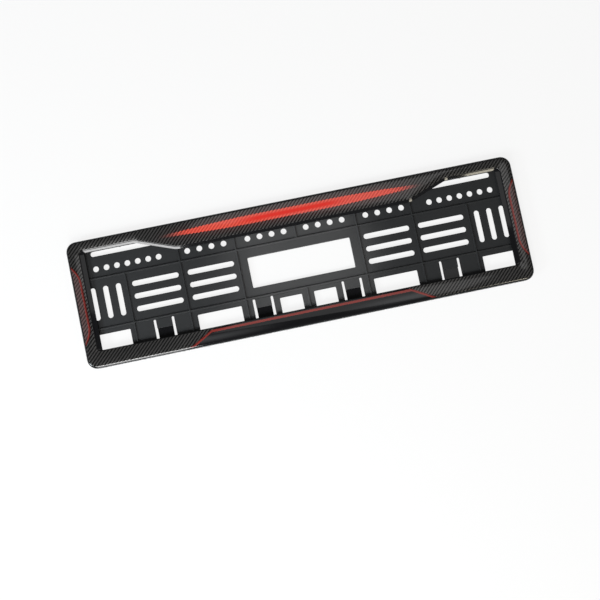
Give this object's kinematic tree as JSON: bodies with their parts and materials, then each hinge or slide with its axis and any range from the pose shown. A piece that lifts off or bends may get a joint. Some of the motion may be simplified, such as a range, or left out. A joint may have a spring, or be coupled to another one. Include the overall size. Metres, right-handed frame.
{
  "type": "number plate holder",
  "caption": "Long low car number plate holder: matt ribbed back plate with screw holes, slots and windows, and a glossy carbon-look clip-on frame with red stripes.",
  "frame": {"origin": "middle of the holder's back, in the plane that it is screwed against", "axes": "+X along the length, to the right seen from the front; +Y up the number plate; +Z out of the front"},
  "size_m": [0.53, 0.1492, 0.013],
  "materials": {
    "base_plate": "fine matt texture, charcoal",
    "front_frame": "gloss lacquer over a printed carbon weave with red stripes"
  },
  "bodies": {
    "root": {"base_plate": "base_plate", "front_frame": "front_frame"}
  },
  "joints": []
}
